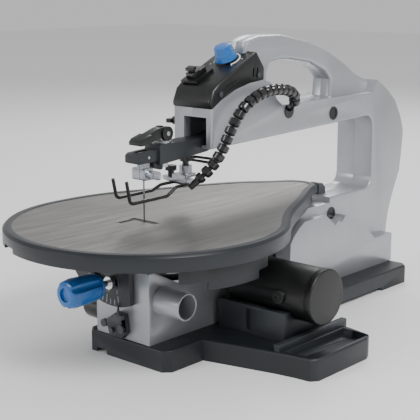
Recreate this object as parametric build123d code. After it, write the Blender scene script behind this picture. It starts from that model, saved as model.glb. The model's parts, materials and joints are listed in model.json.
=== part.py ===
from build123d import *
import os
from math import cos, radians, sin

# Bench scroll saw of the 16 inch class: C-frame, two parallel arms, tilting table.
# Millimetres. Working frame: the blade passes through the table top at the origin,
# +X points to the motor side, +Y to the back of the saw, +Z up.
# ---------------------------------------------------------------- driving sizes
FLOOR_Z = -147.5            # bench level under the base
BASE_TOP_Z = -123.0         # machined top of the base casting
THROAT = 406.0              # blade to the rear wall of the throat
FRAME_HALF = 29.4           # half width of the arm and column
WALL = 4.0                  # wall of the cast half shells
PIVOT_Y = 313.1             # both arm pivots
UPPER_PIVOT_Z = 92.5
LOWER_PIVOT_Z = -38.7
UPPER_BLADE_Z = 71.5        # blade holder pivots
LOWER_BLADE_Z = UPPER_BLADE_Z - (UPPER_PIVOT_Z - LOWER_PIVOT_Z)
REAR_LINK_Y = 432.0         # rear ends of the arms, joined by the link rod
ARM_HALF = 8.0              # half width of the arms inside the frame
TABLE_R = 148.0             # radius of the round front of the table top
TABLE_Y = 5.0               # its centre
RIM_W = 10.0                # black rim round the table
PLATE_T = 5.0
RIM_H = 17.0
TILT_Z = -10.0              # tilt axis of the table, along Y under the blade
INSERT_R = 31.8
MOTOR_Y, MOTOR_Z, MOTOR_R = 95.0, -73.0, 30.5
MOTOR_X0, MOTOR_X1 = 64.0, 180.0
CRANK_R = 6.6               # half of the arm's travel above the motor shaft
CRANK_X = 7.0               # crank pin in the plane of the lower arm
BASE_X0, BASE_X1 = -50.0, 75.0
BASE_Y0, BASE_Y1 = -43.5, 435.0
FLANGE_X = 206.0            # outer edge of the motor flange
HOLE_X, HOLE_Y0, HOLE_Y1 = (-36.0, 180.0), 52.0, 144.0   # bench bolts
HOUSE_X0, HOUSE_X1 = -34.0, 48.0                         # lower housing side walls
HOUSE_Y0 = -42.0            # its front wall
DUST_Y, DUST_Z, DUST_R = -23.0, -76.0, 15.0   # dust outlet tube
ROD_X, ROD_Y, ROD_R = -19.5, 88.0, 3.9   # hold-down rod
HOSE_SEAT = (220.0, 104.0)  # y, z of the air hose's root on the arm
RUN = 0.05                  # radial clearance of a running fit
REAR_Y = 482.5              # back of the frame
SHELF_Y = 309.5             # front of the column below the table
ROD_TOP_Z = -46.0           # connecting rod's pin in the lower arm
BRUSH_X = 140.0
FOOT_KNOB = (-20.0, 64.0)
HOLDER_R = 1.5              # pins that the blade clamps swing on
LINK_R = 3.0                # pins of the rear link
SECTOR_R, STUD_R = 76.0, 49.0                 # tilt sector and its arc slot
SECTOR_Y0, SECTOR_Y1 = -50.0, -44.0
KNOB_Y, STUD_Z = -76.0, TILT_Z - STUD_R       # bevel lock
FRAME_BOLTS = [(-26, -30), (38, -30), (-26, 250), (24, 420)]
PEDESTAL_BOLTS = [(x, y) for x in (86, 138) for y in (68, 122)]
HALF_SCREWS = [(112, 110), (232, 107), (340, 109), (416, 20), (466, 44), (420, -114.5), (330, -114.5)]
COVER_SCREWS = [(94, 134), (161, 151)]
POINTER_SCREWS = [(-21, -111, 4.4, 2.0), (12, -110, 4.8, 2.2), (-3, -114, 3.0, 1.5)]  # x, z, head, shank
# Row frame: centre of the bounding box, on the floor.
SHIFT = Location((-(FLANGE_X - TABLE_R - RIM_W) / 2,
                  -(REAR_Y + TABLE_Y - TABLE_R - RIM_W) / 2, -FLOOR_Z))


# ---------------------------------------------------------------- helpers
def block(x0, x1, y0, y1, z0, z1):
    centre = Pos((x0 + x1) / 2, (y0 + y1) / 2, (z0 + z1) / 2)
    return centre * Box(abs(x1 - x0), abs(y1 - y0), abs(z1 - z0))


def rod_x(x0, x1, y, z, r):
    return Pos((x0 + x1) / 2, y, z) * Rot(0, 90, 0) * Cylinder(r, abs(x1 - x0))


def rod_y(y0, y1, x, z, r):
    return Pos(x, (y0 + y1) / 2, z) * Rot(90, 0, 0) * Cylinder(r, abs(y1 - y0))


def rod_z(z0, z1, x, y, r):
    return Pos(x, y, (z0 + z1) / 2) * Cylinder(r, abs(z1 - z0))


def outline(points):
    return make_face(Polyline(*points, close=True))


def side_prism(points_yz, x0, x1):
    """Extrude an outline drawn in the YZ plane from x0 to x1."""
    face = Plane.YZ * outline(points_yz)
    return Pos(x0, 0, 0) * extrude(face, x1 - x0, dir=(1, 0, 0))


def front_prism(points_xz, y0, y1):
    """Extrude an outline drawn in the XZ plane from y0 to y1."""
    face = make_face(Polyline(*[(x, 0, z) for x, z in points_xz], close=True))
    return Pos(0, y0, 0) * extrude(face, y1 - y0, dir=(0, 1, 0))


def top_prism(points_xy, z0, z1):
    return Pos(0, 0, z0) * extrude(outline(points_xy), z1 - z0, dir=(0, 0, 1))


def screw_x(x_head, x_tip, y, z, head_r, shank_r, head_t):
    """Pan head screw along X: head on the x_head side."""
    step = head_t if x_tip > x_head else -head_t
    return rod_x(x_head, x_head + step, y, z, head_r) + rod_x(x_head + step, x_tip, y, z, shank_r)


def screw_y(y_head, y_tip, x, z, head_r, shank_r, head_t):
    step = head_t if y_tip > y_head else -head_t
    return rod_y(y_head, y_head + step, x, z, head_r) + rod_y(y_head + step, y_tip, x, z, shank_r)


def wire(points, r, radii):
    """Round rod bent through the points."""
    path = FilletPolyline(*points, radius=radii)
    section = Plane(path @ 0, z_dir=path % 0) * Circle(r)
    return sweep(section, path=path)


NODES = {}


def keep(name, *solids):
    """Store the solids of one sub-part, moved to the row frame."""
    flat = []
    for item in solids:
        flat.extend(item.solids())
    NODES[name] = Compound(children=[SHIFT * s for s in flat]) if len(flat) > 1 else SHIFT * flat[0]


# ---------------------------------------------------------------- base
def base_casting():
    rail = block(BASE_X0, BASE_X1, BASE_Y0, BASE_Y1, FLOOR_Z, BASE_TOP_Z)
    rail = chamfer(rail.edges().filter_by(Axis.Z), 8)
    flange = top_prism([(BASE_X1 - 6, 12), (158, 34), (180, 38), (200, 40), (FLANGE_X, 48), (FLANGE_X, 136),
                        (200, 149), (172, 155), (BASE_X1 - 6, 155)], FLOOR_Z, BASE_TOP_Z)
    body = fillet((rail + flange).edges().group_by(Axis.Z)[-1], 3)
    body -= block(167, 201, 44, 147, BASE_TOP_Z - 8, BASE_TOP_Z + 5)      # bolt tray
    body += block(155, 162, 36, 160, BASE_TOP_Z - 4, BASE_TOP_Z + 7)      # raised rib
    body -= block(BASE_X0 + 7, BASE_X1 - 7, BASE_Y0 + 7, BASE_Y1 - 7, FLOOR_Z - 1, BASE_TOP_Z - 6)
    flange_room = [(BASE_X1 - 8, 24), (148, 44), (148, 147), (BASE_X1 - 8, 147)]
    body -= top_prism(flange_room, FLOOR_Z - 1, BASE_TOP_Z - 6)
    for y0, y1 in ((-20, 20), (40, 370)):                                # raised between the feet
        body -= block(BASE_X0 - 5, BASE_X0 + 12, y0, y1, FLOOR_Z - 1, FLOOR_Z + 4)
    body -= block(BASE_X1 - 12, BASE_X1 + 5, 180, 370, FLOOR_Z - 1, FLOOR_Z + 5)
    body -= block(-34, -18, BASE_Y0 - 2, BASE_Y0 + 9, FLOOR_Z - 1, FLOOR_Z + 5)
    for y in (HOLE_Y0, HOLE_Y1):
        body += rod_z(FLOOR_Z, BASE_TOP_Z - 5, HOLE_X[0], y, 9)
        for x in HOLE_X:
            body -= rod_z(FLOOR_Z - 1, BASE_TOP_Z + 5, x, y, 3.5)
    for x, y in FRAME_BOLTS + PEDESTAL_BOLTS:
        body -= rod_z(FLOOR_Z - 1, BASE_TOP_Z + 1, x, y, 2.4)
    return body


# ---------------------------------------------------------------- frame half shells
def frame_side():
    """Outline of the C in side view, without the carry handle."""
    return [(79, 73), (128, 74.3), (THROAT, 81.7), (THROAT, -16.7), (SHELF_Y, -16.7), (SHELF_Y, BASE_TOP_Z),
            (449, BASE_TOP_Z), (445, -106), (447, -78), (451, -57), (462, -30), (476, -3), (480, 25),
            (REAR_Y, 53), (474, 74), (459, 97), (440, 112), (414, 128), (403, 112.5), (207, 112), (196, 120),
            (184, 141), (170, 145), (145, 143), (119, 137), (96, 127.5), (79, 118)]


def handle_loop():
    crest = [(140, 112), (148, 150), (155, 189), (180, 195), (222, 195), (280, 184), (324, 169),
             (359, 152), (385, 137), (420, 124), (420, 112)]
    hole = [(195, 105), (195, 149), (201, 162), (220, 165), (240, 164), (281, 158), (314, 145),
            (326, 134), (323, 105)]
    loop = side_prism(crest, -15.5, 15.5) - side_prism(hole, -20, 20)
    long_edges = [e for e in loop.edges() if abs(e.center().X) > 15.4 and e.center().Z > 113]
    return fillet(long_edges, 5)


def lower_box():
    """Wide lower housing under the table, with a sloping top."""
    right = side_prism([(HOUSE_Y0, BASE_TOP_Z), (HOUSE_Y0, -44), (-33, -44), (5, -63), (14, -66.5),
                        (62, -73),
                        (110, -78), (170, -84), (200, -84), (200, BASE_TOP_Z)], 0, HOUSE_X1)
    left = side_prism([(HOUSE_Y0, BASE_TOP_Z), (HOUSE_Y0, -48), (-33, -48), (5, -66), (62, -76), (200, -84),
                       (200, BASE_TOP_Z)], HOUSE_X0, 0)
    tail = block(HOUSE_X0, HOUSE_X1 - 2, 198, 436, BASE_TOP_Z, -84)
    return right + left + tail


def lower_tunnel():
    """Raised back that covers the lower arm between the lower housing and the column."""
    low = side_prism([(112, -80), (112, -66), (134, -27), (266, -27), (266, -110), (112, -110)], -15, 15)
    right = side_prism([(224, -60), (234, -24), (310, -24), (310, -110), (224, -110)], -15, FRAME_HALF)
    return low + right - block(-16, 0, 264, SHELF_Y, -27, -10)


def bulge_outline():
    return [(205, -84), (206, -58), (212, -50), (224, -40), (235, -34), (280, -34), (290, -42), (300, -50),
            (308, -44), (322, -40), (344, -48), (369, -63), (394, -84), (406, -98), (406, -110), (205, -110)]


def frame_shell():
    outer = side_prism(frame_side(), -FRAME_HALF, FRAME_HALF)
    corners = outer.edges().filter_by(Axis.X)
    throat = [e for e in corners if abs(e.center().Y - THROAT) < 1]
    outer = fillet(throat, 16)
    rim = [e for e in outer.edges() if abs(abs(e.center().X) - FRAME_HALF) < 0.01 and e.center().Z < 111
           and e.center().Z > -16 and e.center().Y < 400]
    outer = fillet(rim, 2.5)
    room = extrude(Plane.YZ * offset(outline(cover_side()), 0.4), 100, both=True)
    shell = outer + handle_loop() - room + lower_box() + lower_tunnel()
    shell += side_prism(bulge_outline(), FRAME_HALF - 6, HOUSE_X1 - 2)
    # hollows: arm, column, lower arm room, lower housing
    arm_in = side_prism([(86, 77.4), (404, 83.8), (404, 106), (200, 106), (170, 112), (140, 116), (88, 112),
                         (86, 108)], -FRAME_HALF + WALL, FRAME_HALF - WALL)
    column_in = side_prism([(402, 106), (440, 106), (457, 90), (474, 60), (473, 30), (468, 5), (455, -25),
                            (444, -55), (440, -80), (438, -112), (THROAT + WALL + 1, -112),
                            (THROAT + WALL + 1, 80), (402, 84)], -FRAME_HALF + WALL, FRAME_HALF - WALL)
    lower_in = block(-FRAME_HALF + WALL, FRAME_HALF - WALL, SHELF_Y + WALL, 412, -112, -21)
    tunnel_in = block(-11, 11, 110, SHELF_Y + WALL + 1, -100, -29.2)
    house_in = side_prism([(-38, -119), (-38, -52), (-31, -52), (6, -70), (62, -80), (118, -84), (118, -119)],
                          HOUSE_X0 + WALL, HOUSE_X1 - WALL)
    house_in += block(HOUSE_X0 + WALL, HOUSE_X1 - WALL - 2, 117, 300, -119, -88)
    slot = block(-14, 26, -36, 113, -90, -30)               # opening for the lower arm
    shell = shell - arm_in - column_in - lower_in - tunnel_in - house_in - slot
    shell -= block(-13.2, 21, 60, 90, 76, 108)              # nose opening for the upper arm
    shell -= block(-14, 14, 60, 152, 60, 80)                # room below it for the arm's travel
    for z in (UPPER_PIVOT_Z, LOWER_PIVOT_Z):
        shell -= rod_x(-60, 60, PIVOT_Y, z, 8.55)           # plug holes over the pivots
        shell += rod_x(FRAME_HALF - 12, FRAME_HALF - 3.5, PIVOT_Y, z, 12)
        shell += rod_x(-FRAME_HALF + 3.5, -FRAME_HALF + 12, PIVOT_Y, z, 12)
        shell -= rod_x(-FRAME_HALF + 3, FRAME_HALF - 3, PIVOT_Y, z, 6.0)
        shell -= rod_x(-13, 13, PIVOT_Y, z, 11.6)           # room for the arm's hub
    shell -= rod_x(HOUSE_X1 - 30, HOUSE_X1 + 5, MOTOR_Y, MOTOR_Z, 14.5)    # motor boss hole
    shell -= rod_x(HOUSE_X1 - 8, HOUSE_X1 + 5, DUST_Y, DUST_Z, 14)     # dust port hole
    shell += rod_z(72, 113, ROD_X, ROD_Y, 6.2)              # hold-down collar
    shell -= rod_z(60, 111, ROD_X, ROD_Y, ROD_R + RUN)
    shell -= rod_x(-40, ROD_X, ROD_Y - 1, 100, 2.6)         # its lock screw
    shell -= rod_x(FRAME_HALF - 6, FRAME_HALF + 2, *HOSE_SEAT, 9.0)        # hose seat
    shell -= rod_y(436, 470, 20, -108, 5.5)                                # mains lead grommet
    return screw_holes(shell)


def screw_holes(shell):
    for y, z in HALF_SCREWS:
        shell -= rod_x(-40, 14, y, z, 1.7)
    for x, y in FRAME_BOLTS:
        shell -= rod_z(BASE_TOP_Z - 1, BASE_TOP_Z + 3.5, x, y, 2.4)
    for side in (-1, 1):
        for y, z in COVER_SCREWS:
            shell -= rod_x(side * (FRAME_HALF - 7), side * 40, y, z, 1.5)
    for x, z, _, shank_r in POINTER_SCREWS:
        shell -= rod_y(-60, -36, x, z, shank_r)
    return shell - rod_y(-60, -40, 0, STUD_Z, 3.5)


def split_frame(shell):
    big = 700
    right = shell & block(0.05, 200, -200, big, -200, 300)
    left = shell & block(-200, -0.05, -200, big, -200, 300)
    return right, left


def pivot_plugs():
    plugs = []
    for z in (UPPER_PIVOT_Z, LOWER_PIVOT_Z):
        for side in (-1, 1):
            plug = rod_x(side * (FRAME_HALF - 3.4), side * (FRAME_HALF + 0.8), PIVOT_Y, z, 8.5)
            dish = rod_x(side * (FRAME_HALF + 0.2), side * (FRAME_HALF + 2), PIVOT_Y, z, 5.5)
            plugs.append(plug - dish)
    return plugs


def frame_screws():
    """Screws that join the half shells; the low ones pass the wider housing."""
    screws = []
    for y, z in HALF_SCREWS:
        seat = HOUSE_X0 if z < -84 else -FRAME_HALF
        screws.append(screw_x(seat - 1.6, 14, y, z, 3.6, 1.7, 1.6))
    return screws


def base_screw(x, y):
    """Screw up through the top of the base into what stands on it."""
    head = rod_z(BASE_TOP_Z - 10, BASE_TOP_Z - 6, x, y, 4.5)
    return head + rod_z(BASE_TOP_Z - 6, BASE_TOP_Z + 3.5, x, y, 2.4)


# ---------------------------------------------------------------- control cover
SLOPE = Pos(0, 92.6, 147) * Rot(25, 0, 0)       # local y runs up the sloped panel, z is its normal
SWITCH_X, SWITCH_S = -12.0, 9.0
DIAL_S = 50.0


def cover_side():
    return [(79, 118.4), (96, 127.9), (119, 137.4), (145, 143.4), (170.4, 145.4), (170.6, 163), (159, 177.96),
            (92.6, 147), (82, 139), (76.5, 126)]


def front_cover():
    body = side_prism(cover_side(), -FRAME_HALF, FRAME_HALF)
    sides = [e for e in body.edges() if abs(abs(e.center().X) - FRAME_HALF) < 0.01]
    rounded = [e for e in sides if e.length > 60 or (e.center().Y < 90 and e.center().Z > 128)
               or (160 < e.center().Y < 166 and e.center().Z > 165)]
    body = fillet(rounded, 4)
    body -= side_prism([(84, 124.5), (96, 131.5), (119, 141), (145, 147), (166, 149), (166, 161), (157, 172.5),
                        (95, 143.8), (85.5, 136)], -FRAME_HALF + 3, FRAME_HALF - 3)
    open_floor = [(84, 112), (84, 130), (166, 152), (166, 140), (145, 139)]
    body -= side_prism(open_floor, -FRAME_HALF + 3, FRAME_HALF - 3)
    body -= SLOPE * (Pos(SWITCH_X, SWITCH_S, 0) * Box(17.6, 24.6, 18))
    body -= SLOPE * (Pos(0, DIAL_S, 0) * Cylinder(4.2, 12))
    for side in (-1, 1):
        for y, z in COVER_SCREWS:
            body -= rod_x(side * 20, side * 40, y, z, 1.5)
    for y in (150, 157):
        vent = [(y, 150), (y + 2, 150), (y + 3, 160), (y + 1, 160)]
        body -= side_prism(vent, FRAME_HALF - 4, FRAME_HALF + 1)
    return body


def cover_screws():
    screws = []
    for side in (-1, 1):
        for y, z in COVER_SCREWS:
            screws.append(screw_x(side * (FRAME_HALF + 1.2), side * (FRAME_HALF - 7), y, z, 3.2, 1.5, 1.2))
    return screws


def switch_bezel():
    plate = Pos(SWITCH_X, SWITCH_S, 1.6) * Box(24, 31, 3.2)
    collar = Pos(SWITCH_X, SWITCH_S, -3) * Box(17.4, 24.4, 8)
    bezel = plate + collar - Pos(SWITCH_X, SWITCH_S, -1) * Box(14.6, 21.6, 20)
    axle = Pos(SWITCH_X, SWITCH_S, 1.5) * Rot(0, 90, 0) * Cylinder(1.0, 15)
    return SLOPE * (bezel + axle)


def switch_rocker():
    lower = Pos(0, -5, 4.2) * Box(13.4, 10.2, 7.6)
    upper = Pos(0, 5, 3.6) * Box(13.4, 10.2, 6.4)
    key_slot = Pos(0, -6, 6) * Box(8.4, 4.4, 10)
    rocker = lower + upper - key_slot - Rot(0, 90, 0) * Cylinder(1.0 + RUN, 20)
    return SLOPE * (Pos(SWITCH_X, SWITCH_S, 1.5) * rocker)


def safety_key():
    stem = Pos(0, -6, 6.2) * Box(8.0, 4.0, 8.4)
    grip = Pos(0, -6, 12.4) * Box(11.5, 7.5, 4)
    return SLOPE * (Pos(SWITCH_X, SWITCH_S, 1.5) * (stem + grip))


def speed_dial():
    grip = Pos(0, 0, 7.5) * extrude(RegularPolygon(11.8, 8), 11, taper=7)
    skirt = Pos(0, 0, 2.2) * Cone(13.5, 12, 5.3, align=(Align.CENTER, Align.CENTER, Align.MIN))
    shaft = Pos(0, 0, -6) * Cylinder(3.0, 9, align=(Align.CENTER, Align.CENTER, Align.MIN))
    return SLOPE * (Pos(0, DIAL_S, 0) * (grip + skirt + shaft))


def speed_control():
    """Board with the potentiometer behind the dial."""
    board = Pos(0, 42, -9.3) * Box(40, 30, 1.6)
    pot = Pos(0, DIAL_S, -8.5) * Cylinder(8, 4.2, align=(Align.CENTER, Align.CENTER, Align.MIN))
    bore = Pos(0, DIAL_S, -7) * Cylinder(3.0 + RUN, 12, align=(Align.CENTER, Align.CENTER, Align.MIN))
    neck = Pos(0, DIAL_S, -4.5) * Cylinder(4.0, 4.4, align=(Align.CENTER, Align.CENTER, Align.MIN))
    return SLOPE * (board + pot + neck - bore)


# ---------------------------------------------------------------- arms and blade
def upper_arm():
    side = [(14, 62), (90, 68), (150, 84.5), (322, 85), (436, 88.5), (441, 92.5), (436, 96.5), (322, 100),
            (150, 97), (96, 84), (14, 84)]
    arm = side_prism(side, -12, 12)
    arm += rod_x(-12, 12, PIVOT_Y, UPPER_PIVOT_Z, 11)
    arm -= rod_x(-20, 20, PIVOT_Y, UPPER_PIVOT_Z, 7.6)
    arm -= rod_x(-20, 20, REAR_LINK_Y, UPPER_PIVOT_Z, LINK_R + RUN)
    arm -= rod_z(55, 90, 0, 31, 3.0 + RUN)
    for side in (-1, 1):
        arm -= block(side * 9.5, side * 13, 170, 290, 87.5, 97.5)      # lightening pockets
    return arm


def blade_carrier():
    """Front fork that holds the upper blade clamp."""
    body = side_prism([(-19, 67), (-19, 75), (-15, 77.5), (14, 79), (14, 66), (-15, 65.5)], -9, 9)
    body -= block(-4.6, 4.6, -12.5, 8.5, 60, 90)
    body += side_prism([(9, 68), (14, 68), (14, 61.9), (23, 62.5), (23, 56), (19, 55.5), (9, 60)], -7, 7)
    return body - rod_x(-12, 12, 0, UPPER_BLADE_Z, HOLDER_R + RUN)


def lower_arm():
    side = [(-9, LOWER_BLADE_Z - 6), (20, LOWER_BLADE_Z - 6), (66, -55), (112, -53), (325, -47), (436, -46),
            (441, LOWER_PIVOT_Z), (436, -31), (325, -30.7), (112, -37), (60, -40), (24, LOWER_BLADE_Z + 6),
            (-9, LOWER_BLADE_Z + 6)]
    arm = side_prism(side, -ARM_HALF, ARM_HALF)
    arm -= block(-4.4, 4.4, -20, 8.6, -90, -40)
    arm += rod_x(-ARM_HALF, ARM_HALF, PIVOT_Y, LOWER_PIVOT_Z, 10.6)
    arm -= rod_x(-20, 20, 0, LOWER_BLADE_Z, HOLDER_R + RUN)
    arm -= rod_x(-20, 20, PIVOT_Y, LOWER_PIVOT_Z, 7.6)
    arm -= rod_x(-20, 20, REAR_LINK_Y, LOWER_PIVOT_Z, LINK_R + RUN)
    arm -= rod_x(-20, 20, MOTOR_Y, ROD_TOP_Z, 2.5)
    return arm


def bushing(z, half, r_out):
    return rod_x(-half, half, PIVOT_Y, z, r_out) - rod_x(-half - 1, half + 1, PIVOT_Y, z, 6.0 + RUN)


def rear_link():
    z0, z1 = LOWER_PIVOT_Z, UPPER_PIVOT_Z
    link = block(12.6, 16.6, REAR_LINK_Y - 5, REAR_LINK_Y + 5, z0, z1)
    for z in (z0, z1):
        link += rod_x(12.6, 16.6, REAR_LINK_Y, z, 7)
        link -= rod_x(10, 20, REAR_LINK_Y, z, LINK_R)
    return link


def link_pin(z):
    """Headed pin, fixed in the rear link, that turns in the arm."""
    inner = -12 if z > 0 else -ARM_HALF
    pin = rod_x(16.6, 18.4, REAR_LINK_Y, z, 5) + rod_x(inner, 16.6, REAR_LINK_Y, z, LINK_R)
    spacer = rod_x(ARM_HALF + 0.3, 12.6, REAR_LINK_Y, z, 5)
    return pin + spacer if z < 0 else pin


def blade():
    return block(-0.25, 0.25, -1.3, 1.3, LOWER_BLADE_Z + 2.1, UPPER_BLADE_Z - 2.1)


def blade_clamp(pivot_z, up):
    """Clamp block that grips the end of the blade; up is +1 for the upper one."""
    near, far = pivot_z - up * 25, pivot_z + up * 5
    half_x, half_y = 4.0, 6.0
    body = block(-half_x, half_x, -half_y, half_y, near, far)
    body = chamfer(body.edges().filter_by(Axis.X), 1.5)
    grip = block(-11.5, 8.0, -6.5, 6.5, near, near + up * 13)
    grip = chamfer(grip.edges().filter_by(Axis.X), 1.5)
    slit = block(-0.28, 0.28, -10, 10, near - up, pivot_z - up * 2.0)
    body = body + grip - slit
    body -= rod_x(-20, 20, 0, pivot_z, HOLDER_R)
    return body - rod_x(0.3, 30, 0, near + up * 6.5, 2.0 + RUN)


def clamp_screw(pivot_z, up):
    """Winged thumb screw on the motor side of a clamp."""
    z = pivot_z - up * 18.5
    shank = rod_x(0.4, 12, 0, z, 2.0)
    hub = rod_x(8.2, 14, 0, z, 4.6)
    wing = Pos(19, 0, z) * Box(13, 3, 9)
    wing += Pos(14.5, 0, z) * Box(3, 8, 6)
    wing = chamfer(wing.edges().filter_by(Axis.Y).sort_by(Axis.X)[-2:], 2)
    return shank + hub + wing


def holder_pin(z, half):
    return rod_x(-half, half, 0, z, HOLDER_R)


def tension_rod():
    rod = rod_z(57, 91, 0, 31, 3.0) + rod_x(-2.8, 2.8, 31, 94.4, 5.6)
    nut = Pos(0, 31, 57) * extrude(RegularPolygon(5.6, 6), 4.2)
    return rod + nut - rod_x(-5, 5, 31, 94.4, 2.5)


def tension_washer():
    return rod_z(84.05, 86.0, 0, 31, 9) - rod_z(80, 90, 0, 31, 3.0 + RUN)


def tension_lever():
    hub = rod_x(-8, 8, 31, 94.4, 8)
    arm = side_prism([(31, 102.4), (20, 101), (2, 95.5), (-9, 92), (-12.5, 88.5), (-12, 85), (-4, 85.4),
                      (14, 88), (24, 90)], -5.5, 5.5)
    paddle = side_prism([(4, 96), (-9, 92), (-12.5, 88.5), (-12, 85), (-4, 85.4), (4, 86.6)], -9.5, 9.5)
    lever = hub + arm + paddle
    lever -= block(-3.2, 3.2, 23, 40, 80, 110)
    return lever - rod_x(-20, 20, 31, 94.4, 2.5 + RUN)


def lever_pin():
    """Pressed through the eye of the tension rod; the lever turns on it."""
    return rod_x(-8.6, 8.6, 31, 94.4, 2.5)


# ---------------------------------------------------------------- hold-down foot
def hold_down_rod():
    return rod_z(36, 106, ROD_X, ROD_Y, ROD_R)


def foot_bracket():
    plate = top_prism([(-28, 96), (-11, 96), (-6, 70), (13, 66), (14, 54), (-14, 52), (-28, 58)], 36, 40)
    boss = rod_z(36, 49, ROD_X, ROD_Y, 7.5)
    wall = block(-8, 12, 53, 56, 36, 45)
    bracket = plate + boss + wall - rod_z(30, 60, ROD_X, ROD_Y, ROD_R)
    return bracket - rod_z(30, 60, FOOT_KNOB[0], FOOT_KNOB[1], 2.5 + RUN)


def foot_fork():
    tine_near = wire([(11, 60, 34.1), (11, 40, 33.8), (10.5, 26, 25.5), (10.5, -31, 25), (10.5, -36, 50)],
                     1.9, [8, 8, 6])
    tine_far = wire([(-11, 60, 34.1), (-11, 38, 34.1), (-10.5, 24, 29.5), (-10.5, -31, 29), (-10.5, -36, 51)],
                    1.9, [8, 8, 6])
    return tine_near + tine_far + rod_x(-11, 11, 60, 34.1, 1.9)


def foot_knob():
    x, y = FOOT_KNOB
    head = Pos(x, y, 46) * extrude(RegularPolygon(7, 6), 6)
    return head + rod_z(40.2, 46.5, x, y, 3.6) + rod_z(33, 41, x, y, 2.5)


def hose_clip():
    """Wire loop from the hold-down rod to the lower end of the air hose."""
    loop = wire([(ROD_X, ROD_Y - 3, 57), (22, ROD_Y - 5, 57), (27, ROD_Y + 7, 57), (22, ROD_Y + 17, 57),
                 (ROD_X, ROD_Y + 15, 57)], 1.6, [5, 5, 5])
    clip = loop + rod_z(54, 60, ROD_X, ROD_Y, 7)
    clip += block(ROD_X - 3, ROD_X + 3, ROD_Y + 4, ROD_Y + 15, 55.4, 58.6)
    return clip - rod_z(50, 64, ROD_X, ROD_Y, ROD_R)


def rod_lock_knob():
    screw = rod_x(-40, ROD_X - 4.2, ROD_Y - 1, 100, 2.5)
    hub = rod_x(-36, -30, ROD_Y - 1, 100, 5)
    wing = Pos(-38, ROD_Y - 1, 100) * Box(8, 18, 4.5)
    return screw + hub + fillet(wing.edges().filter_by(Axis.Z), 2)


# ---------------------------------------------------------------- table
def grown(points, first, last, margin):
    """Move outline points outwards; first and last are the outward directions at the ends."""
    outward = [first]
    for before, after in zip(points, points[2:]):
        dx, dy = after[0] - before[0], after[1] - before[1]
        size = (dx * dx + dy * dy) ** 0.5
        outward.append((-dy / size, dx / size))
    outward.append(last)
    return [(x + margin * u, y + margin * v) for (x, y), (u, v) in zip(points, outward)]


def table_outline(margin=0.0):
    """Round front, tapered tail that leans to the left; margin makes it that much larger all round."""
    left = grown([(-TABLE_R, TABLE_Y), (-141, 72), (-112, 142), (-58, 249), (-26, 288.5)],
                 (-1, 0), (-0.824, 0.566), margin)
    right = grown([(12, 288.5), (45, 222), (88, 138), (117, 95.6)], (0.824, 0.566), (0.791, 0.612), margin)
    front_arc = ThreePointArc(right[-1], (0, TABLE_Y - TABLE_R - margin), left[0])
    left_side = Spline(*left, tangents=[(0, 1), (0.55, 0.83)])
    tip_arc = ThreePointArc(left[-1], (-7, 298.5 + margin), right[0])
    right_side = Spline(*right, tangents=[(0.3, -0.95), (0.612, -0.79)])
    return make_face([front_arc, left_side, tip_arc, right_side])


def table_plate():
    plate = Pos(0, 0, -PLATE_T) * extrude(table_outline(), PLATE_T, dir=(0, 0, 1))
    plate -= rod_z(-3, 1, 0, 0, INSERT_R + 0.15)
    plate -= rod_z(-20, 1, 0, 0, INSERT_R - 4)
    lug = side_prism([(266, -4), (266, -10), (271, -15.5), (281, -15.5), (286, -10), (286, -4)], -9, 5)
    for x in (-40, 12):
        plate -= rod_z(-6, -2.5, x, -36, 1.8)
    return plate + lug - rod_y(200, 300, 0, TILT_Z, 3.0 + RUN)


def table_rim():
    outer = Pos(0, 0, -RIM_H) * extrude(table_outline(RIM_W), RIM_H + 0.6, dir=(0, 0, 1))
    top = outer.edges().group_by(Axis.Z)[-1]
    outer = chamfer(top, 3)
    outer -= block(-60, 30, 262, 330, -30, -9)                     # shallow over the tunnel
    outer -= rod_y(270, 330, 0, TILT_Z, 3.6)                       # room for the tilt pin
    outer -= block(-72, -46, -160, -120, -30, -RIM_H + 5)          # finger notch
    return outer - Pos(0, 0, -RIM_H - 1) * extrude(table_outline(), RIM_H + 3, dir=(0, 0, 1))


def table_insert():
    disc = rod_z(-3, 0, 0, 0, INSERT_R)
    disc -= block(-20, 20, -2.4, 2.4, -5, 5)
    return disc - block(-15.6, -12.4, -25, 0, -5, 5)


def ring_sector(r_in, r_out, a0, a1, y0, y1):
    """Part of a ring about the tilt axis; angles in degrees from straight down, left is negative."""
    ring = rod_y(y0, y1, 0, TILT_Z, r_out)
    if r_in:
        ring -= rod_y(y0 - 1, y1 + 1, 0, TILT_Z, r_in)
    steps = [a0 + (a1 - a0) * i / 6 for i in range(7)]
    reach = 1.5 * r_out
    wedge = [(0, TILT_Z)] + [(reach * sin(radians(a)), TILT_Z - reach * cos(radians(a))) for a in steps]
    return ring & front_prism(wedge, y0, y1)


def front_trunnion():
    plate = rod_y(SECTOR_Y0, SECTOR_Y1, 0, TILT_Z, SECTOR_R)
    plate &= block(-60, 27, SECTOR_Y0, SECTOR_Y1, -90, -PLATE_T)
    plate -= ring_sector(STUD_R - 3.8, STUD_R + 3.8, -50, 10, SECTOR_Y0 - 1, SECTOR_Y1 + 1)
    plate += block(-52, 24, SECTOR_Y0, -30, -10, -PLATE_T)
    for x in (-40, 12):
        plate -= rod_z(-11, -4, x, -36, 1.8)
    return plate


def trunnion_screws():
    return [rod_z(-11.6, -10, x, -36, 3.6) + rod_z(-10, -2.5, x, -36, 1.8) for x in (-40, 12)]


def table_sector(angles, z0, z1):
    """Upright prism from the centre of the round front, spanning the given angles from +X."""
    rim = [(300 * cos(radians(a)), TABLE_Y + 300 * sin(radians(a))) for a in angles]
    return top_prism([(0, TABLE_Y)] + rim, z0, z1)


def apron_ring(z0, z1):
    return rod_z(z0, z1, 0, TABLE_Y, TABLE_R) - rod_z(z0, z1, 0, TABLE_Y, TABLE_R - 4)


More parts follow.
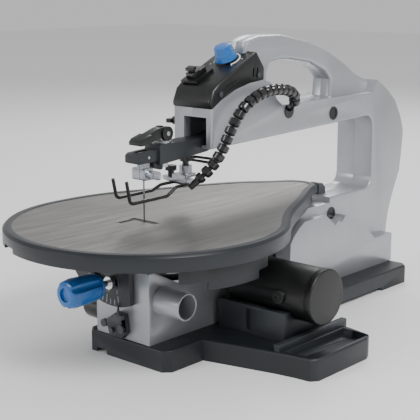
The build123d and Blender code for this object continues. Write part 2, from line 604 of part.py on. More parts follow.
def table_apron():
    """Curved sheet under the right edge of the table, with two tabs that reach the plate."""
    sheet = apron_ring(-42, -RIM_H) & table_sector((-33, -15, 0, 13), -43, -RIM_H + 1)
    sheet -= table_sector((-40, -21), -50, -33)
    sheet -= table_sector((6, 20), -50, -33)
    for angle in (-25, 5):
        sheet += apron_ring(-RIM_H, -PLATE_T) & table_sector((angle - 3, angle + 3), -RIM_H, -PLATE_T)
    return sheet


# ---------------------------------------------------------------- tilt lock and pointer


def bevel_stud():
    return rod_y(-80, -40, 0, STUD_Z, 3.5) + rod_y(-56, SECTOR_Y0 - 0.3, 0, STUD_Z, 7)


def bevel_lock_knob():
    profile = [(0, 0), (12.5, 0), (14.5, 2), (15.0, 8), (16.0, 30), (14.5, 39), (11.5, 41), (0, 41)]
    body = revolve(Plane.XZ * make_face(Polyline(*profile, close=True)), Axis.Z)
    for i in range(3):
        flute = Rot(0, 0, 30 + 120 * i) * (Pos(17.5, 0, 20) * Cylinder(5, 60))
        body -= flute
    body -= Pos(0, 0, 38) * Cylinder(7.5, 10, align=(Align.CENTER, Align.CENTER, Align.MIN))
    body = Pos(0, KNOB_Y, STUD_Z) * Rot(90, 0, 0) * body
    return body - rod_y(-81, -70, 0, STUD_Z, 3.5 + RUN)


def knob_collar():
    return rod_y(KNOB_Y + 0.3, KNOB_Y + 3.5, 0, STUD_Z, 13.5) - rod_y(-90, -60, 0, STUD_Z, 3.5 + RUN)


def bevel_pointer():
    plate = front_prism([(-13, -104), (3, -93), (16, -93), (19, -113), (12, -121), (-8, -121)], -48, HOUSE_Y0)
    tip = front_prism([(8, -94), (10.3, -80), (12.6, -94)], SECTOR_Y0 - 2.2, SECTOR_Y0 - 0.6)
    foot = front_prism([(4, -99), (4, -93.2), (16, -93.2), (16, -99)], SECTOR_Y0 - 2.2, -47)
    bracket = plate + tip + foot
    for x, z, _, shank_r in POINTER_SCREWS[1:]:
        bracket -= rod_y(-60, -36, x, z, shank_r)
    return bracket


def pointer_screws():
    seats = (HOUSE_Y0, -48.0, -48.0)
    return [screw_y(seat - 3.0, -36, x, z, head_r, shank_r, 3.0)
            for seat, (x, z, head_r, shank_r) in zip(seats, POINTER_SCREWS)]


def rear_pivot_bracket():
    body = side_prism([(315, -16.7), (315, -5), (317.5, -2.5), (322.5, -2.5), (329, -9), (329, -16.7)], -8, 8)
    return body - rod_y(300, 340, 0, TILT_Z, 3.0)


def rear_pivot_pin():
    return rod_y(267, 328, 0, TILT_Z, 3.0)


# ---------------------------------------------------------------- dust and air
def dust_port():
    x0, x1 = HOUSE_X1 - 3.9, 86.0
    tube = rod_x(HOUSE_X1, x1, DUST_Y, DUST_Z, DUST_R) + rod_x(x0, HOUSE_X1, DUST_Y, DUST_Z, 14)
    return tube - rod_x(x0 - 1, x1 + 1, DUST_Y, DUST_Z, DUST_R - 2.0)


def side_cap():
    """Round plug on the left wall, over the lower mechanism."""
    cap = rod_x(-62, HOUSE_X0, -20, -99, 19)
    cap = fillet(cap.edges().sort_by(Axis.X)[0], 2.5)
    return cap + rod_x(-65, -62, -20, -99, 15.5) - rod_x(-66, -63.5, -20, -99, 12)


def air_bellows():
    """Pump bellows under the lower arm, drawn at mid stroke."""
    rings = []
    for i in range(5):
        rings.append(rod_z(-99 + 8 * i, -95 + 8 * i, 0, 205, 10))
        rings.append(rod_z(-95 + 8 * i, -91 + 8 * i, 0, 205, 8))
    body = rings[0]
    for ring in rings[1:]:
        body += ring
    return body


# ---------------------------------------------------------------- air hose
HOSE_ROUTE = [(39.5, 217.5, 117), (43.5, 211, 124.5), (46.5, 196, 131.5), (48.5, 177, 134.5),
              (50, 157, 135), (51, 138, 132), (51, 121, 126), (50, 106, 116), (48, 95, 102), (45, 88, 87),
              (42, 82, 73), (37.5, 76.5, 61),
              (31.5, 69.5, 50), (26, 61, 41.5)]
HOSE_PITCH = 10.6
HOSE_GROUPS = (7, 7, 6)        # segments between one hinge and the next


def hose_places():
    """Ball centres and directions at an even pitch along the route."""
    route = Spline(*HOSE_ROUTE)
    count = int(route.length // HOSE_PITCH)
    params = [i * HOSE_PITCH / route.length for i in range(count + 1)]
    return [route @ t for t in params]


def hose_segment(start, end):
    """Socket round start, neck and ball at end."""
    pitch = (end - start).length
    socket_r, ball_r = 6.8, 4.6
    profile = [(1.6, -2.4), (5.8, -3.4), (socket_r, -2.6), (socket_r, 3.2), (5.6, 5.0), (2.7, 5.8),
               (2.7, pitch - 2), (1.6, pitch - 2)]
    body = revolve(Plane.XZ * make_face(Polyline(*profile, close=True)), Axis.Z)
    body -= Sphere(ball_r + 0.12)
    body -= Pos(0, 0, -3.4) * Cone(5.0, 3.4, 2.6)
    body += Pos(0, 0, pitch) * Sphere(ball_r) - Pos(0, 0, pitch) * Cylinder(1.6, 12)
    body -= Pos(0, 0, pitch - 4) * Cylinder(1.6, 12)
    return Plane(start, z_dir=(end - start).normalized()) .location * body


def hose_root():
    """Ball fitting in the seat on the side of the arm."""
    first = hose_places()[0]
    seat_y, seat_z = HOSE_SEAT
    base = rod_x(FRAME_HALF - 5.9, FRAME_HALF + 0.8, seat_y, seat_z, 8.8)
    stem = Pos(first) * Sphere(4.6)
    bend = (FRAME_HALF + 5, seat_y, seat_z + 2)
    neck = wire([(FRAME_HALF - 2, seat_y, seat_z), bend, tuple(first)], 1.9, [3])
    return base + neck + stem


def hose_group(index):
    """Segments of one rigid stretch of the hose."""
    places = hose_places()
    start = sum(HOSE_GROUPS[:index])
    stop = start + HOSE_GROUPS[index] if index < len(HOSE_GROUPS) - 1 else len(places) - 1
    return [hose_segment(places[i], places[i + 1]) for i in range(start, min(stop, len(places) - 1))]


def hose_nozzle():
    places = hose_places()
    end, way = places[-1], (places[-1] - places[-2]).normalized()
    profile = [(1.4, -2.4), (5.6, -3.0), (6.3, -2.2), (6.3, 2.0), (4.2, 5.0), (3.6, 16), (2.9, 17), (1.4, 17)]
    body = revolve(Plane.XZ * make_face(Polyline(*profile, close=True)), Axis.Z)
    body -= Sphere(4.72)
    body -= Pos(0, 0, -3.2) * Cone(5.0, 3.4, 2.6)
    return Plane(end, z_dir=way).location * body


# ---------------------------------------------------------------- motor and drive
def motor_can():
    can = rod_x(MOTOR_X0, MOTOR_X1 - 8, MOTOR_Y, MOTOR_Z, MOTOR_R)
    can = chamfer(can.edges().sort_by(Axis.X)[0], 3)
    can += rod_x(HOUSE_X1 - 3.9, MOTOR_X0, MOTOR_Y, MOTOR_Z, 14.4)
    can -= rod_x(MOTOR_X0 + 3, MOTOR_X1, MOTOR_Y, MOTOR_Z, MOTOR_R - 3)
    can -= rod_x(HOUSE_X1 - 10, MOTOR_X0 + 5, MOTOR_Y, MOTOR_Z, 9)
    can += rod_y(MOTOR_Y - MOTOR_R - 4.5, MOTOR_Y - MOTOR_R + 2.8, BRUSH_X, MOTOR_Z, 7.5)
    return can - rod_y(MOTOR_Y - MOTOR_R - 6, MOTOR_Y - 20, BRUSH_X, MOTOR_Z, 4.0)


def motor_end_cap():
    cap = rod_x(MOTOR_X1 - 8, MOTOR_X1, MOTOR_Y, MOTOR_Z, MOTOR_R + 0.8)
    cap = fillet(cap.edges().sort_by(Axis.X)[-1], 2)
    return cap - rod_x(MOTOR_X1 - 9, MOTOR_X1 - 3, MOTOR_Y, MOTOR_Z, 8)


def brush_cap():
    y = MOTOR_Y - MOTOR_R
    cap = rod_y(y - 5.2, y + 3, BRUSH_X, MOTOR_Z, 4.0)
    return cap - block(BRUSH_X - 5, BRUSH_X + 5, y - 7, y - 4.4, MOTOR_Z - 0.7, MOTOR_Z + 0.7)


def motor_stator():
    return rod_x(90, 128, MOTOR_Y, MOTOR_Z, MOTOR_R - 3) - rod_x(80, 160, MOTOR_Y, MOTOR_Z, 19.5)


def motor_rotor():
    rotor = rod_x(92, 126, MOTOR_Y, MOTOR_Z, 18.5) + rod_x(133, 147, MOTOR_Y, MOTOR_Z, 11)
    rotor += rod_x(22, 176, MOTOR_Y, MOTOR_Z, 4.0) + rod_x(74, 82, MOTOR_Y, MOTOR_Z, 22)
    return rotor


def motor_brush():
    return rod_y(MOTOR_Y - MOTOR_R + 3.4, MOTOR_Y - 11.3, BRUSH_X, MOTOR_Z, 3.0)


def motor_bearings():
    shaft_r = 4.0 + RUN
    front = rod_x(50, 57, MOTOR_Y, MOTOR_Z, 9) - rod_x(40, 70, MOTOR_Y, MOTOR_Z, shaft_r)
    rear = rod_x(172, 177, MOTOR_Y, MOTOR_Z, 8) - rod_x(160, 180, MOTOR_Y, MOTOR_Z, shaft_r)
    return [front, rear]


def crank_disc():
    disc = rod_x(16, 22, MOTOR_Y, MOTOR_Z, 12) - rod_x(15, 23, MOTOR_Y + 9.5, MOTOR_Z, 1.5)
    return disc + rod_x(9.0, 16, MOTOR_Y - CRANK_R, MOTOR_Z, 3.0)


def connecting_rod():
    """Its eye is long enough for the crank pin's sideways travel."""
    eye = block(9.5, 14.5, MOTOR_Y - CRANK_R, MOTOR_Y + CRANK_R, MOTOR_Z - 8, MOTOR_Z + 8)
    for y in (MOTOR_Y - CRANK_R, MOTOR_Y + CRANK_R):
        eye += rod_x(9.5, 14.5, y, MOTOR_Z, 8)
    eye += block(9.5, 14.5, MOTOR_Y - 4.5, MOTOR_Y + 4.5, MOTOR_Z + 5, ROD_TOP_Z)
    eye += rod_x(9.5, 14.5, MOTOR_Y, ROD_TOP_Z, 6)
    gap = 5.0
    eye -= block(9, 15, MOTOR_Y - CRANK_R, MOTOR_Y + CRANK_R, MOTOR_Z - gap, MOTOR_Z + gap)
    for y in (MOTOR_Y - CRANK_R, MOTOR_Y + CRANK_R):
        eye -= rod_x(9, 15, y, MOTOR_Z, gap)
    return eye - rod_x(9, 15, MOTOR_Y, ROD_TOP_Z, 2.5 + RUN)


def rod_pin():
    return rod_x(-ARM_HALF, 14.8, MOTOR_Y, ROD_TOP_Z, 2.5) + rod_x(14.8, 16.2, MOTOR_Y, ROD_TOP_Z, 4)


def motor_pedestal():
    body = block(56, 150, 60, 130, BASE_TOP_Z, -90)
    body -= rod_x(40, 160, MOTOR_Y, MOTOR_Z, MOTOR_R)
    body -= block(96, 103, 58, 63, -118, -94)
    for x, y in PEDESTAL_BOLTS:
        body -= rod_z(BASE_TOP_Z - 1, BASE_TOP_Z + 3.5, x, y, 2.4)
    return body


def power_inlet():
    """Grommet for the mains lead in the back of the column."""
    return rod_y(437, 450, 20, -108, 5.5) - rod_y(430, 460, 20, -108, 3.5)


def build():
    keep("base_casting", base_casting())
    right, left = split_frame(frame_shell())
    keep("frame_right_half", right)
    keep("frame_left_half", left)
    keep("frame_screws", *frame_screws(), *pointer_screws())
    keep("base_screws", *[base_screw(x, y) for x, y in FRAME_BOLTS + PEDESTAL_BOLTS])
    keep("pivot_plugs", *pivot_plugs())
    keep("fulcrum_pins", *[rod_x(-25, 25, PIVOT_Y, z, 6.0) for z in (UPPER_PIVOT_Z, LOWER_PIVOT_Z)])
    keep("front_cover", front_cover())
    keep("cover_screws", *cover_screws())
    keep("switch_bezel", switch_bezel())
    keep("switch_rocker", switch_rocker())
    keep("safety_key", safety_key())
    keep("speed_dial", speed_dial())
    keep("speed_control", speed_control())
    keep("upper_arm", upper_arm())
    keep("upper_arm_bushing", bushing(UPPER_PIVOT_Z, 12, 7.6))
    keep("blade_carrier", blade_carrier())
    keep("lower_arm", lower_arm())
    keep("lower_arm_pins", bushing(LOWER_PIVOT_Z, ARM_HALF, 7.6), rod_pin())
    keep("rear_link", rear_link())
    keep("rear_link_pins", link_pin(UPPER_PIVOT_Z), link_pin(LOWER_PIVOT_Z))
    keep("blade", blade())
    keep("upper_blade_clamp", blade_clamp(UPPER_BLADE_Z, 1))
    keep("lower_blade_clamp", blade_clamp(LOWER_BLADE_Z, -1))
    keep("upper_clamp_screw", clamp_screw(UPPER_BLADE_Z, 1))
    keep("lower_clamp_screw", clamp_screw(LOWER_BLADE_Z, -1))
    keep("holder_pins", holder_pin(UPPER_BLADE_Z, 9), holder_pin(LOWER_BLADE_Z, ARM_HALF))
    keep("tension_rod", tension_rod(), lever_pin())
    keep("tension_washer", tension_washer())
    keep("tension_lever", tension_lever())
    keep("hold_down_rod", hold_down_rod())
    keep("foot_bracket", foot_bracket())
    keep("foot_fork", foot_fork())
    keep("foot_knob", foot_knob())
    keep("hose_clip", hose_clip())
    keep("rod_lock_knob", rod_lock_knob())
    keep("table_plate", table_plate())
    keep("table_rim", table_rim())
    keep("table_insert", table_insert())
    keep("table_apron", table_apron())
    keep("front_trunnion", front_trunnion())
    keep("trunnion_screws", *trunnion_screws())
    keep("bevel_stud", bevel_stud())
    keep("bevel_lock_knob", bevel_lock_knob(), knob_collar())
    keep("bevel_pointer", bevel_pointer())
    keep("rear_pivot_bracket", rear_pivot_bracket(), rear_pivot_pin())
    keep("dust_port", dust_port())
    keep("side_cap", side_cap())
    keep("air_bellows", air_bellows())
    keep("hose_root", hose_root())
    for index, name in enumerate(("hose_upper", "hose_middle", "hose_lower")):
        keep(name, *hose_group(index))
    keep("hose_nozzle", hose_nozzle())
    keep("motor_can", motor_can(), motor_end_cap(), brush_cap())
    keep("motor_stator", motor_stator(), motor_brush(), *motor_bearings())
    keep("motor_rotor", motor_rotor(), crank_disc())
    keep("connecting_rod", connecting_rod())
    keep("motor_pedestal", motor_pedestal())
    keep("power_inlet", power_inlet())


build()
os.makedirs("parts", exist_ok=True)
for name, shape in NODES.items():
    export_step(shape, f"parts/{name}.step")
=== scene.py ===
"""Looks of the scroll saw: camera, studio, materials and the detail that rides on the CAD bodies."""
import json
from math import cos, pi, radians, sin

import bmesh
import bpy
from mathutils import Matrix, Vector


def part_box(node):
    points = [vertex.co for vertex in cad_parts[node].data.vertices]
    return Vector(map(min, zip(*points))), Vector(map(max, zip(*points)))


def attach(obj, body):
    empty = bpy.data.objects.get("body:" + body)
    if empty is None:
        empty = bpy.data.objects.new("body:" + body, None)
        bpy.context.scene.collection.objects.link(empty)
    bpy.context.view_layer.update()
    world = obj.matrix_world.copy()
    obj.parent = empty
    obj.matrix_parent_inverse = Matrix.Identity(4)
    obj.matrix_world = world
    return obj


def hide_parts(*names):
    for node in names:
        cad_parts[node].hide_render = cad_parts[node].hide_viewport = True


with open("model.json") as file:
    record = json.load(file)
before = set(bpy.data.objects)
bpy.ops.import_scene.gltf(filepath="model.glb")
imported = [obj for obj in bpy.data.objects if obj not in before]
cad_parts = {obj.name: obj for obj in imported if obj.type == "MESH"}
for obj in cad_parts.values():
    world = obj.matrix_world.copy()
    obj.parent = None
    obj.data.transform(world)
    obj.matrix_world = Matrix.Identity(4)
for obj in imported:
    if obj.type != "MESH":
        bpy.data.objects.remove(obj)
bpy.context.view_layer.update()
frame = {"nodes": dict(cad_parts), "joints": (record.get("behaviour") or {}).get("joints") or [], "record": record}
NODES = frame["nodes"]
JOINTS = {joint["name"]: joint for joint in frame["joints"]}
BODY_OF = {name: body for body, names in frame["record"]["behaviour"]["bodies"].items() for name in names}
SLOT_OF = {part["node"]: part["material_slot"] for part in frame["record"]["subparts"]}
MM = 0.001
LENS_MM, SENSOR_MM = 91.65, 36.0
CAMERA_AZIMUTH, CAMERA_ELEVATION = 41.72, 12.30     # degrees
CAMERA_PLACE = (818.1, -808.7, 262.7)               # mm from the blade at the table top
FLOOR_REACH = 6.0                                   # m from the middle of the floor to its edge
ROOM_LIGHT = 0.62
ROUNDING_SEGMENTS, ROUNDED_ABOVE, SHARP_ABOVE = 3, 38, 40   # degrees between faces
TOOTH_PITCH, TOOTH_DEPTH = 2.2 * MM, 0.75 * MM
TOOTHED_FROM, TOOTHED_TO = 0.12, 0.86               # share of the blade's length
BLADE_ROOM = 1.2 * MM                               # gap in the painted slot shade on each side of the blade
DIAL_START, DIAL_SWEEP, DIAL_TICKS = 215, 250, 6    # degrees from +X
SCALE_ZERO = 8                                      # degrees from the sector's lowest point to its 0 mark

# The table's tilt axis gives the blade's place: X from the joint, height of the top 10 mm above it.
BLADE = Vector(JOINTS["table_tilt"]["pos_m"]) + Vector((0, 0, 10 * MM))


def at(x, y, z):
    """A point in millimetres from where the blade passes the table top."""
    return BLADE + Vector((x, y, z)) * MM


# ---------------------------------------------------------------- camera and studio
def add_camera():
    data = bpy.data.cameras.new("camera")
    data.lens, data.sensor_width = LENS_MM, SENSOR_MM
    camera = bpy.data.objects.new("camera", data)
    bpy.context.scene.collection.objects.link(camera)
    azimuth, elevation = radians(CAMERA_AZIMUTH), radians(CAMERA_ELEVATION)
    back = Vector((sin(azimuth) * cos(elevation), -cos(azimuth) * cos(elevation), sin(elevation)))
    right = Vector((cos(azimuth), sin(azimuth), 0))
    turn = Matrix((right, back.cross(right), back)).transposed()
    camera.matrix_world = Matrix.Translation(at(*CAMERA_PLACE)) @ turn.to_4x4()
    bpy.context.scene.camera = camera


def add_light(name, place, target, size, power):
    data = bpy.data.lights.new(name, "AREA")
    data.shape, data.size, data.energy = "SQUARE", size, power
    light = bpy.data.objects.new(name, data)
    light.location = place
    light.rotation_euler = (Vector(target) - Vector(place)).to_track_quat("-Z", "Y").to_euler()
    bpy.context.scene.collection.objects.link(light)


def add_studio():
    mesh = bpy.data.meshes.new("floor")
    corners = [(-1, -1), (1, -1), (1, 1), (-1, 1)]
    mesh.from_pydata([(x * FLOOR_REACH, y * FLOOR_REACH, 0) for x, y in corners], [], [(0, 1, 2, 3)])
    floor = bpy.data.objects.new("floor", mesh)
    bpy.context.scene.collection.objects.link(floor)
    pale = new_material("floor_pale", (0.90, 0.90, 0.90), 0.75)
    floor.data.materials.append(pale)
    world = bpy.data.worlds.new("studio")
    world.use_nodes = True
    background = world.node_tree.nodes["Background"]
    background.inputs["Color"].default_value = (1, 1, 1, 1)
    background.inputs["Strength"].default_value = ROOM_LIGHT
    bpy.context.scene.world = world
    add_light("key", (1.5, -0.4, 1.7), (0, 0, 0.15), 0.9, 38)
    add_light("front", (-0.7, -1.9, 1.0), (0, 0, 0.1), 0.8, 11)
    add_light("back", (-0.9, 1.5, 1.6), (0, 0, 0.2), 1.0, 22)


# ---------------------------------------------------------------- materials
def new_material(name, color, roughness, metallic=0.0):
    material = bpy.data.materials.new(name)
    material.use_nodes = True
    shader = material.node_tree.nodes["Principled BSDF"]
    shader.inputs["Base Color"].default_value = (*color, 1)
    shader.inputs["Roughness"].default_value = roughness
    shader.inputs["Metallic"].default_value = metallic
    return material


def surface(name, color, color2, roughness, spread, scale, stretch=(1, 1, 1), metallic=0.0, bump=0.0,
            grain=0.0, coat=0.0, worn=None):
    """Material whose colour and roughness drift over noise; it can have fine grain and rubbed edges too."""
    material = new_material(name, color, roughness, metallic)
    tree = material.node_tree
    nodes, links = tree.nodes, tree.links
    shader = nodes["Principled BSDF"]
    if coat:
        shader.inputs["Coat Weight"].default_value = coat
        shader.inputs["Coat Roughness"].default_value = 0.12
    place = nodes.new("ShaderNodeTexCoord")
    mapping = nodes.new("ShaderNodeMapping")
    mapping.inputs["Scale"].default_value = stretch
    links.new(place.outputs["Object"], mapping.inputs["Vector"])
    noise = nodes.new("ShaderNodeTexNoise")
    noise.inputs["Scale"].default_value = scale
    noise.inputs["Detail"].default_value = 6
    links.new(mapping.outputs["Vector"], noise.inputs["Vector"])
    ramp = nodes.new("ShaderNodeValToRGB")
    ramp.color_ramp.elements[0].position, ramp.color_ramp.elements[1].position = 0.3, 0.7
    ramp.color_ramp.elements[0].color = (*color, 1)
    ramp.color_ramp.elements[1].color = (*color2, 1)
    links.new(noise.outputs["Fac"], ramp.inputs["Fac"])
    tone = ramp.outputs["Color"]
    if worn:
        tone = add_wear(nodes, links, tone, worn)
    links.new(tone, shader.inputs["Base Color"])
    rough = nodes.new("ShaderNodeMapRange")
    rough.inputs["To Min"].default_value = max(0.02, roughness - spread)
    rough.inputs["To Max"].default_value = min(1.0, roughness + spread)
    links.new(noise.outputs["Fac"], rough.inputs["Value"])
    links.new(rough.outputs["Result"], shader.inputs["Roughness"])
    if bump:
        fine = nodes.new("ShaderNodeTexNoise")
        fine.inputs["Scale"].default_value = grain
        fine.inputs["Detail"].default_value = 3
        links.new(mapping.outputs["Vector"], fine.inputs["Vector"])
        height = nodes.new("ShaderNodeBump")
        height.inputs["Strength"].default_value = bump
        height.inputs["Distance"].default_value = 0.0004
        links.new(fine.outputs["Fac"], height.inputs["Height"])
        links.new(height.outputs["Normal"], shader.inputs["Normal"])
    return material


def add_wear(nodes, links, tone, worn):
    """Lighter, rubbed paint on convex edges."""
    geometry = nodes.new("ShaderNodeNewGeometry")
    edge = nodes.new("ShaderNodeMapRange")
    edge.inputs["From Min"].default_value, edge.inputs["From Max"].default_value = 0.53, 0.62
    links.new(geometry.outputs["Pointiness"], edge.inputs["Value"])
    mix = nodes.new("ShaderNodeMix")
    mix.data_type = "RGBA"
    tone_in, worn_in, result = mix.inputs[6], mix.inputs[7], mix.outputs[2]   # the node's colour sockets
    worn_in.default_value = (*worn, 1)
    links.new(edge.outputs["Result"], mix.inputs["Factor"])
    links.new(tone, tone_in)
    return result


def make_materials():
    return {
        "silver_paint": surface("silver_paint", (0.36, 0.375, 0.40), (0.42, 0.435, 0.46), 0.34, 0.05, 14,
                                metallic=0.55, bump=0.14, grain=1400, coat=0.3),
        "dark_paint": surface("dark_paint", (0.0065, 0.0085, 0.011), (0.010, 0.013, 0.0165), 0.44, 0.07, 20,
                              bump=0.18, grain=1100, worn=(0.030, 0.035, 0.042)),
        "dark_steel": surface("dark_steel", (0.012, 0.015, 0.019), (0.020, 0.024, 0.029), 0.40, 0.08, 40,
                              bump=0.12, grain=1300, worn=(0.05, 0.055, 0.062)),
        "motor_black": surface("motor_black", (0.003, 0.003, 0.0035), (0.006, 0.0065, 0.007), 0.38, 0.06,
                               30, bump=0.12, grain=1200),
        "table_metal": surface("table_metal", (0.155, 0.148, 0.143), (0.27, 0.262, 0.255), 0.36, 0.10, 26,
                               stretch=(7.0, 0.5, 1.0), metallic=0.8, bump=0.22, grain=320),
        "insert_plastic": surface("insert_plastic", (0.165, 0.158, 0.153), (0.28, 0.272, 0.265), 0.38, 0.08,
                                  26, stretch=(7.0, 0.5, 1.0), metallic=0.7, bump=0.20, grain=320),
        "rim_plastic": surface("rim_plastic", (0.0075, 0.010, 0.014), (0.0105, 0.014, 0.019), 0.34, 0.06,
                               18, bump=0.12, grain=1500),
        "black_plastic": surface("black_plastic", (0.0045, 0.005, 0.0055), (0.008, 0.0085, 0.009), 0.34, 0.06,
                                 35, bump=0.14, grain=1600),
        "gloss_black": surface("gloss_black", (0.005, 0.005, 0.006), (0.010, 0.010, 0.011), 0.16, 0.05, 40,
                               bump=0.03, grain=900, coat=0.4),
        "black_wire": surface("black_wire", (0.008, 0.008, 0.009), (0.015, 0.015, 0.016), 0.24, 0.05, 60,
                              bump=0.06, grain=1500, coat=0.2),
        "key_plastic": surface("key_plastic", (0.012, 0.012, 0.014), (0.020, 0.020, 0.022), 0.30, 0.05, 50,
                               bump=0.08, grain=1500),
        "blue_plastic": surface("blue_plastic", (0.004, 0.105, 0.37), (0.008, 0.135, 0.44), 0.28, 0.05, 35,
                                bump=0.06, grain=1400, coat=0.3),
        "arm_metal": surface("arm_metal", (0.25, 0.26, 0.28), (0.33, 0.34, 0.36), 0.45, 0.08, 45,
                             metallic=0.8, bump=0.25, grain=900),
        "bright_steel": surface("bright_steel", (0.50, 0.51, 0.53), (0.58, 0.59, 0.61), 0.30, 0.08, 90,
                                metallic=1.0, bump=0.08, grain=1500),
        "blade_steel": surface("blade_steel", (0.28, 0.29, 0.31), (0.36, 0.37, 0.39), 0.32, 0.06, 200,
                               stretch=(1, 1, 0.1), metallic=1.0, bump=0.05, grain=1500),
        "clamp_steel": surface("clamp_steel", (0.42, 0.44, 0.48), (0.54, 0.56, 0.60), 0.28, 0.08, 120,
                               metallic=0.9, bump=0.10, grain=1400),
        "chrome": surface("chrome", (0.62, 0.63, 0.65), (0.70, 0.71, 0.73), 0.12, 0.05, 80, metallic=1.0,
                          bump=0.03, grain=1200),
        "bronze": surface("bronze", (0.36, 0.24, 0.11), (0.44, 0.30, 0.15), 0.38, 0.08, 90, metallic=1.0,
                          bump=0.15, grain=1600),
        "board": surface("board", (0.012, 0.075, 0.03), (0.020, 0.10, 0.04), 0.40, 0.06, 120,
                         bump=0.1, grain=900),
        "rubber": surface("rubber", (0.014, 0.014, 0.014), (0.022, 0.022, 0.022), 0.75, 0.08, 60, bump=0.25,
                          grain=1400),
        "winding": surface("winding", (0.23, 0.10, 0.04), (0.32, 0.16, 0.07), 0.42, 0.08, 160,
                           stretch=(1, 6, 6), metallic=0.6, bump=0.3, grain=900),
    }


def paint_nodes(materials):
    for name, node in NODES.items():
        for slot in node.material_slots:
            slot.material = materials[SLOT_OF[name]]


# ---------------------------------------------------------------- mesh helpers
def add_piece(name, mesh, material, body):
    piece = bpy.data.objects.new(name, mesh)
    bpy.context.scene.collection.objects.link(piece)
    piece.data.materials.clear()
    piece.data.materials.append(material)
    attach(piece, body)
    return piece


def soften(node, width, materials):
    """Stand in for a CAD node with a copy whose sharp edges are rounded."""
    mesh = NODES[node].data.copy()
    work = bmesh.new()
    work.from_mesh(mesh)
    bmesh.ops.remove_doubles(work, verts=work.verts, dist=2e-6)
    bmesh.ops.dissolve_limit(work, angle_limit=radians(1.0), verts=work.verts, edges=work.edges)
    work.to_mesh(mesh)
    work.free()
    slot = SLOT_OF[node]
    piece = add_piece(node + "_soft", mesh, materials[slot], BODY_OF[node])
    rounding = piece.modifiers.new("rounding", "BEVEL")
    rounding.width, rounding.segments, rounding.limit_method = width, ROUNDING_SEGMENTS, "ANGLE"
    rounding.angle_limit = radians(ROUNDED_ABOVE)
    rounding.use_clamp_overlap = True
    bpy.context.view_layer.objects.active = piece
    bpy.ops.object.modifier_apply(modifier="rounding")
    for face in piece.data.polygons:
        face.use_smooth = True
    piece.data.set_sharp_from_angle(angle=radians(SHARP_ABOVE))
    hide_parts(node)


def ribbon(name, rings, material, body):
    """Closed strip from a list of four-cornered sections."""
    verts = [corner for ring in rings for corner in ring]
    faces = []
    for i in range(len(rings) - 1):
        for k in range(4):
            a, b = 4 * i + k, 4 * i + (k + 1) % 4
            faces.append((a, b, b + 4, a + 4))
    faces.append((3, 2, 1, 0))
    last = 4 * (len(rings) - 1)
    faces.append((last, last + 1, last + 2, last + 3))
    mesh = bpy.data.meshes.new(name)
    mesh.from_pydata([tuple(v) for v in verts], [], faces)
    work = bmesh.new()
    work.from_mesh(mesh)
    bmesh.ops.recalc_face_normals(work, faces=work.faces)
    work.to_mesh(mesh)
    work.free()
    return add_piece(name, mesh, material, body)


def bar_rings(x0, x1, y0, y1, z0, z1):
    """Both end sections of an upright bar along X, for ribbon."""
    return [[Vector((x, y, z)) for y, z in ((y0, z0), (y1, z0), (y1, z1), (y0, z1))] for x in (x0, x1)]


# ---------------------------------------------------------------- details
def add_blade(materials):
    """Thin blade with teeth on its front edge."""
    low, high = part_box("blade")
    back_y, front_y = high.y, low.y
    count = int((high.z - low.z) / TOOTH_PITCH)
    step = (high.z - low.z) / count
    edge = []
    for i in range(count):
        z = low.z + i * step
        toothed = TOOTHED_FROM < i / count < TOOTHED_TO
        edge.append((front_y, z))
        edge.append((front_y + (TOOTH_DEPTH if toothed else 0), z + 0.35 * step))
    edge.append((front_y, high.z))
    outline = edge + [(back_y, high.z), (back_y, low.z)]
    n = len(outline)
    verts = [(x, y, z) for x in (low.x, high.x) for y, z in outline]
    faces = [tuple(range(n)), tuple(range(2 * n - 1, n - 1, -1))]
    faces += [(i, i + n, (i + 1) % n + n, (i + 1) % n) for i in range(n)]
    mesh = bpy.data.meshes.new("blade_toothed")
    mesh.from_pydata(verts, [], faces)
    work = bmesh.new()
    work.from_mesh(mesh)
    bmesh.ops.recalc_face_normals(work, faces=work.faces)
    bmesh.ops.triangulate(work, faces=work.faces)
    work.to_mesh(mesh)
    work.free()
    piece = add_piece("blade_toothed", mesh, materials["blade_steel"], "blade")
    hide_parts("blade")


def add_slot_liner(materials):
    """Black sheets filling the insert's T-shaped slot, open on each side of the blade: painted shade where the
    through cut is dark.
    """
    low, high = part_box("table_insert")
    top_z = high.z - 0.6 * MM
    bars = {"bar": (-20, 20, -1.9, 1.9), "stem": (-15.9, -12.1, -23, -1.9)}
    for label, (x0, x1, y0, y1) in bars.items():
        first, last = at(x0, y0, 0), at(x1, y1, 0)
        spans = [(first.x, last.x)]
        if label == "bar":
            spans = [(first.x, BLADE.x - BLADE_ROOM), (BLADE.x + BLADE_ROOM, last.x)]
        for i, (left, right) in enumerate(spans):
            rings = bar_rings(left, right, first.y, last.y, low.z, top_z)
            ribbon(f"slot_{label}_{i}", rings, materials["black_plastic"], "table")


def add_slot_edge(materials):
    """Flat black strips on the two long sides of each bar of the T-shaped slot, just above the insert: painted
    shade that makes the dark slot read wider.
    """
    _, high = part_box("table_insert")
    low_z, top_z = high.z - 0.05 * MM, high.z + 0.10 * MM
    strips = ((-20, 20, 2.4, 4.6), (-12.4, 20, -4.6, -2.4), (-20, -15.6, -4.6, -2.4),
              (-17.3, -15.6, -25, -4.6), (-12.4, -10.7, -25, -4.6))
    for i, (x0, x1, y0, y1) in enumerate(strips):
        first, last = at(x0, y0, 0), at(x1, y1, 0)
        rings = bar_rings(first.x, last.x, first.y, last.y, low_z, top_z)
        ribbon(f"slot_border_shade_{i}", rings, materials["black_plastic"], "table")


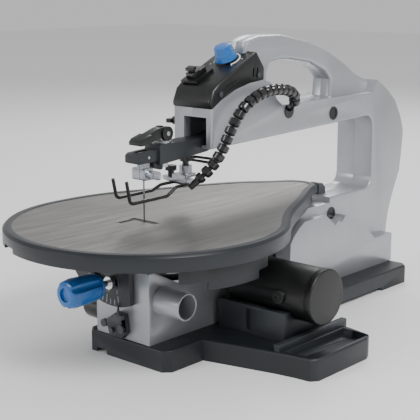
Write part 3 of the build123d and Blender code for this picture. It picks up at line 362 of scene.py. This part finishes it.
def add_dial_scale(white):
    """White arc round the speed dial, widening towards the fast end, with short ticks."""
    joint = JOINTS["speed_dial_turn"]
    centre, normal = Vector(joint["pos_m"]), Vector(joint["axis"]).normalized()
    side = Vector((1, 0, 0))
    up = normal.cross(side)
    lift, thick = 0.05 * MM, 0.35 * MM

    def spot(angle, radius, height):
        return centre + side * radius * cos(angle) + up * radius * sin(angle) + normal * height

    rings = []
    steps = 40
    for i in range(steps + 1):
        share = i / steps
        angle = radians(DIAL_START - DIAL_SWEEP * share)
        inner, outer = 15.2 * MM, (15.9 + 1.7 * share) * MM
        rings.append([spot(angle, inner, lift), spot(angle, outer, lift), spot(angle, outer, lift + thick),
                      spot(angle, inner, lift + thick)])
    ribbon("dial_scale", rings, white, "frame")
    for i in range(DIAL_TICKS):
        angle, half = radians(DIAL_START - DIAL_SWEEP / (DIAL_TICKS - 1) * i), radians(1.2)
        section = ((-half, lift), (half, lift), (half, lift + thick), (-half, lift + thick))
        tick = [[spot(angle + turn, r, height) for turn, height in section] for r in (18.6 * MM, 20.6 * MM)]
        ribbon(f"dial_tick_{i}", tick, white, "frame")


def add_degree_scale(pale):
    """Bevel scale on the tilt sector, from 0 to 45: a long mark every 15 degrees and a short one every 5."""
    low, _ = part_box("front_trunnion")
    face = low.y - 0.25 * MM
    axis = at(0, 0, -10)

    def spot(angle, radius, depth):
        return Vector((axis.x + radius * sin(angle), depth, axis.z - radius * cos(angle)))

    for i in range(10):
        angle, half = radians(SCALE_ZERO - 5 * i), radians(0.42)
        inner = (64 if i % 3 == 0 else 68) * MM
        root = low.y + 0.05 * MM
        section = ((-half, face), (half, face), (half, root), (-half, root))
        mark = [[spot(angle + turn, r, depth) for turn, depth in section] for r in (inner, 74 * MM)]
        ribbon(f"degree_mark_{i}", mark, pale, "table")
    for degrees in (0, 15, 30, 45):
        text = str(degrees)
        curve = bpy.data.curves.new("degree_" + text, "FONT")
        curve.body, curve.size, curve.extrude = text, 6.2 * MM, 0.12 * MM
        curve.align_x, curve.align_y = "CENTER", "CENTER"
        label = bpy.data.objects.new("degree_" + text, curve)
        angle = radians(SCALE_ZERO - degrees)
        label.location = spot(angle, 59.5 * MM, face)
        label.rotation_euler = (pi / 2, angle, 0)
        bpy.context.scene.collection.objects.link(label)
        curve.materials.append(pale)
        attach(label, "table")


add_studio()
add_camera()
MATERIALS = make_materials()
paint_nodes(MATERIALS)
SOFT_EDGES = {   # rounding of each node in mm
    "base_casting": 1.6, "frame_right_half": 1.3, "frame_left_half": 1.3, "table_rim": 3.0,
    "front_cover": 1.2, "motor_pedestal": 1.2, "upper_arm": 1.0, "blade_carrier": 1.0, "tension_lever": 1.4,
    "bevel_lock_knob": 1.6, "front_trunnion": 0.7, "bevel_pointer": 0.6, "motor_can": 1.0, "side_cap": 1.0,
    "table_apron": 0.8, "speed_dial": 0.8, "switch_rocker": 0.7, "safety_key": 0.8, "upper_clamp_screw": 0.7,
    "foot_knob": 0.7, "upper_blade_clamp": 0.6, "rod_lock_knob": 0.8, "foot_bracket": 0.6, "dust_port": 0.5,
}
for node_name, width_mm in SOFT_EDGES.items():
    soften(node_name, width_mm * MM, MATERIALS)
WHITE = surface("print_white", (0.75, 0.75, 0.75), (0.82, 0.82, 0.82), 0.5, 0.05, 90)
PALE = surface("print_pale", (0.28, 0.32, 0.34), (0.34, 0.38, 0.40), 0.5, 0.05, 90)
add_blade(MATERIALS)
# painted shade: black sheets inside the slot's hole
add_slot_liner(MATERIALS)
# painted shade: black strips along the slot's sides
add_slot_edge(MATERIALS)
add_dial_scale(WHITE)
add_degree_scale(PALE)
